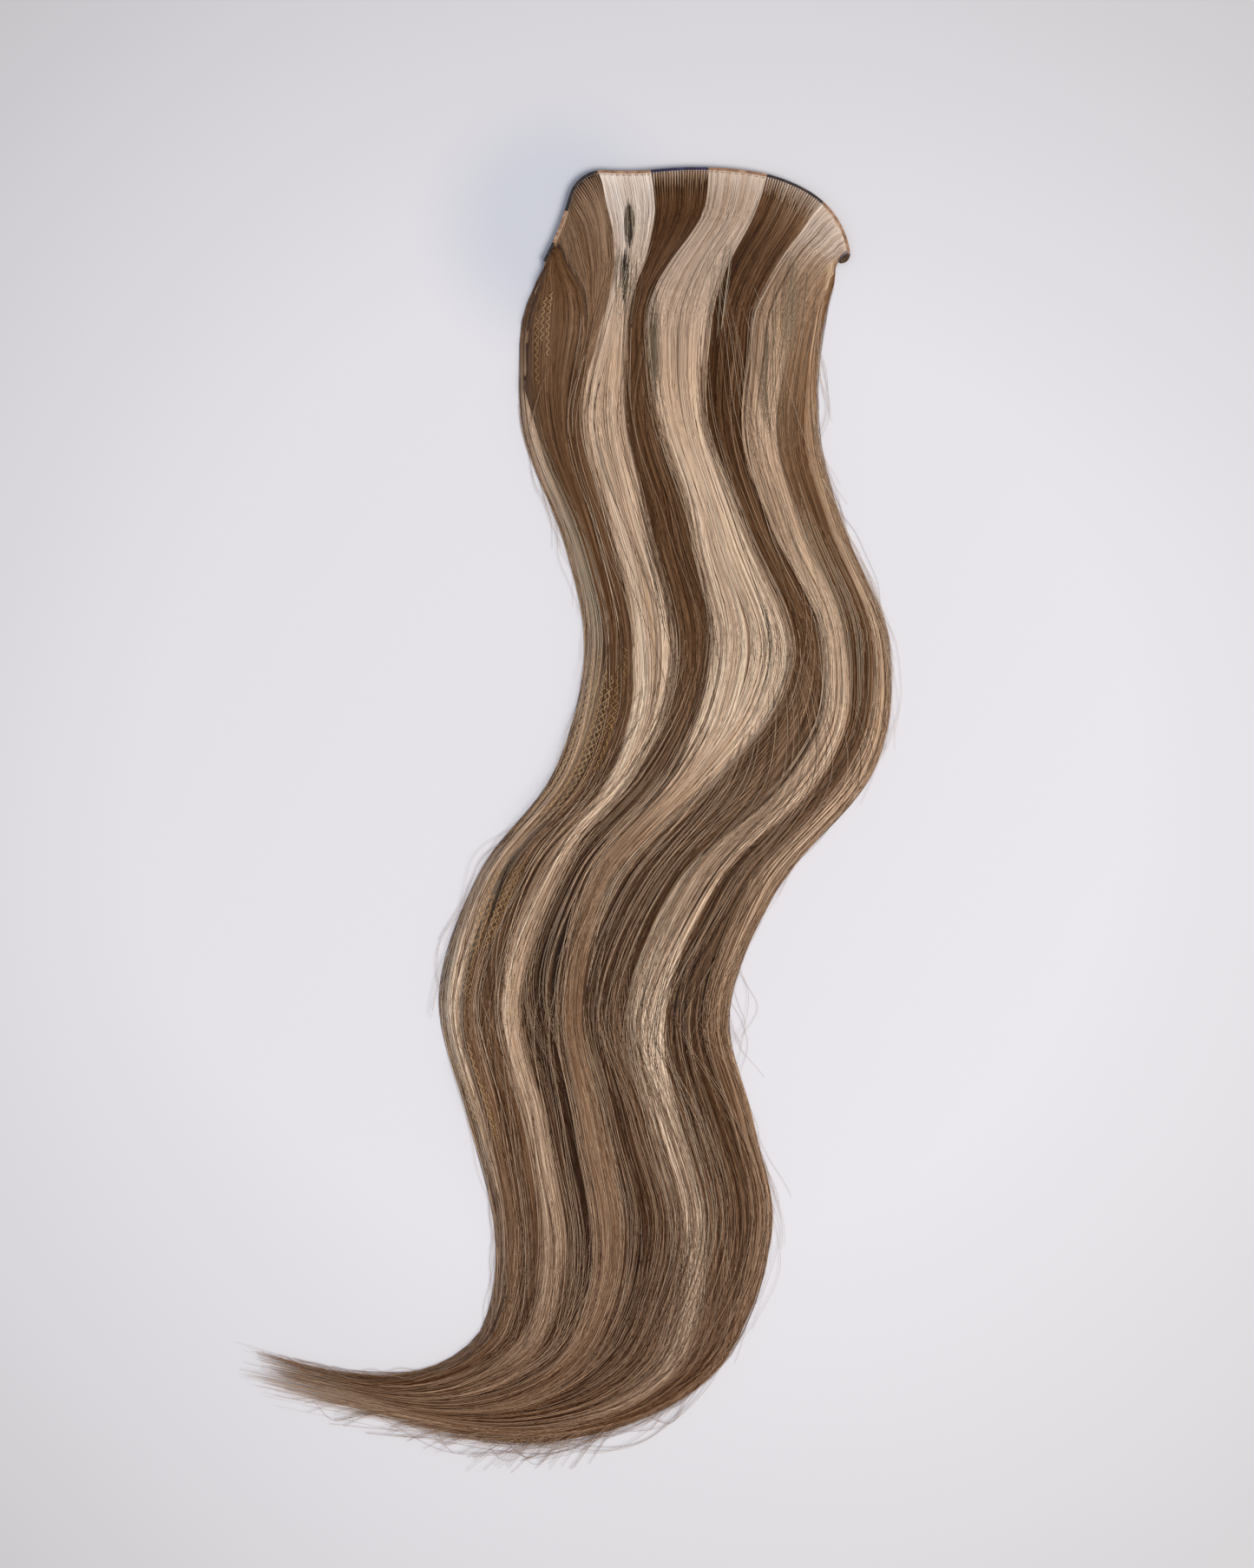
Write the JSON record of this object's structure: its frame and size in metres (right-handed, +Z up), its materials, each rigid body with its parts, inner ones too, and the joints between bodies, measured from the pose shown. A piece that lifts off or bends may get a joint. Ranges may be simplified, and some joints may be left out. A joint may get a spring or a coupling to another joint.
{
  "type": "hair weft",
  "caption": "Long wavy striped hair, brown and blonde in turn, sewn along one end into a thin arched thread band and lying flat in soft waves.",
  "frame": {"origin": "centre of the object's bounding box in plan, at the surface it lies on", "axes": "+Z up from the surface, +Y towards the band end, +X to the right as seen from above with the band at the top"},
  "size_m": [0.2256, 0.4474, 0.0075],
  "materials": {
    "dark_thread": "fine dark brown sewing thread wound tightly round the band",
    "navy_thread": "fine navy thread wound tightly round the band",
    "tan_thread": "fine tan thread wound tightly round the band",
    "brown_hair": "smooth satin hair, cool to warm mid brown",
    "blonde_hair": "smooth satin hair, pale beige to golden blonde"
  },
  "bodies": {
    "root": {"band_dark_1": "dark_thread", "band_tan_2": "tan_thread", "band_dark_3": "dark_thread", "band_tan_4": "tan_thread", "band_dark_5": "navy_thread", "band_tan_6": "tan_thread", "band_dark_7": "dark_thread", "band_tan_8": "tan_thread", "band_fold": "dark_thread", "band_under": "dark_thread", "lock_brown_1": "brown_hair", "lock_blonde_2": "blonde_hair", "lock_brown_3": "brown_hair", "lock_blonde_4": "blonde_hair", "lock_brown_5": "brown_hair", "lock_blonde_6": "blonde_hair", "lock_brown_7": "brown_hair", "lock_blonde_8": "blonde_hair", "lock_under": "brown_hair"}
  },
  "joints": []
}
